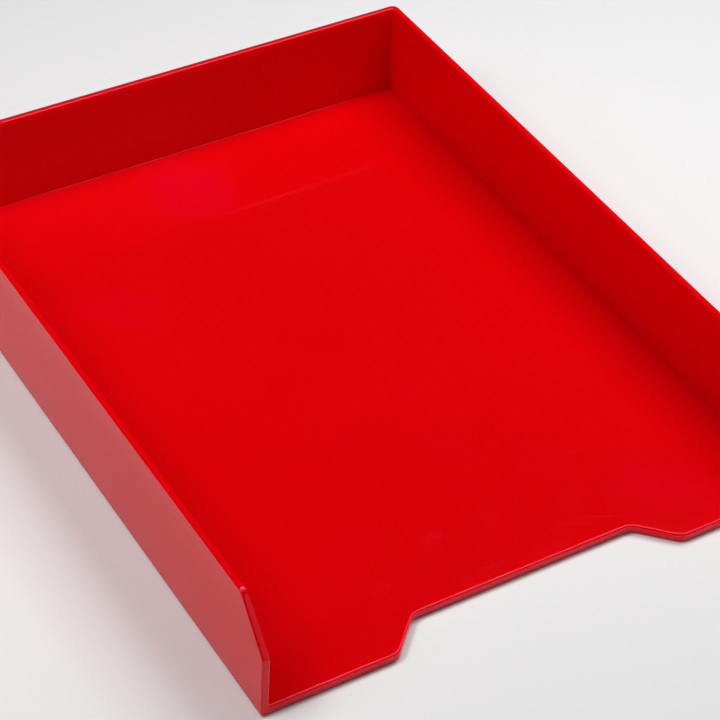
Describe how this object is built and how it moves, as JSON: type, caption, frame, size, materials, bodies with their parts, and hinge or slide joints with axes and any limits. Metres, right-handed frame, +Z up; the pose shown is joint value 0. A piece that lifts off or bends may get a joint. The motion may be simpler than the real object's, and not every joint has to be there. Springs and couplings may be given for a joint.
{
  "type": "letter tray",
  "caption": "Glossy moulded letter tray: floor, back wall and side walls, open at the front with a bevelled finger notch, side walls leaning back at the front, on rubber feet.",
  "frame": {"origin": "centre of the tray's footprint, on the surface that its feet rest on", "axes": "+X to the right of a person facing the open front, +Y from the open front to the back wall, +Z up"},
  "size_m": [0.254, 0.33, 0.0512],
  "materials": {
    "shell_plastic": "opaque high-gloss red ABS, injection moulded",
    "foot_rubber": "dark grey, slightly textured",
    "adhesive": "pale adhesive film"
  },
  "bodies": {
    "root": {"tray_shell": "shell_plastic", "foot_front_left": "foot_rubber", "foot_front_right": "foot_rubber", "foot_rear_left": "foot_rubber", "foot_rear_right": "foot_rubber", "adhesive_front_left": "adhesive", "adhesive_front_right": "adhesive", "adhesive_rear_left": "adhesive", "adhesive_rear_right": "adhesive"}
  },
  "joints": []
}
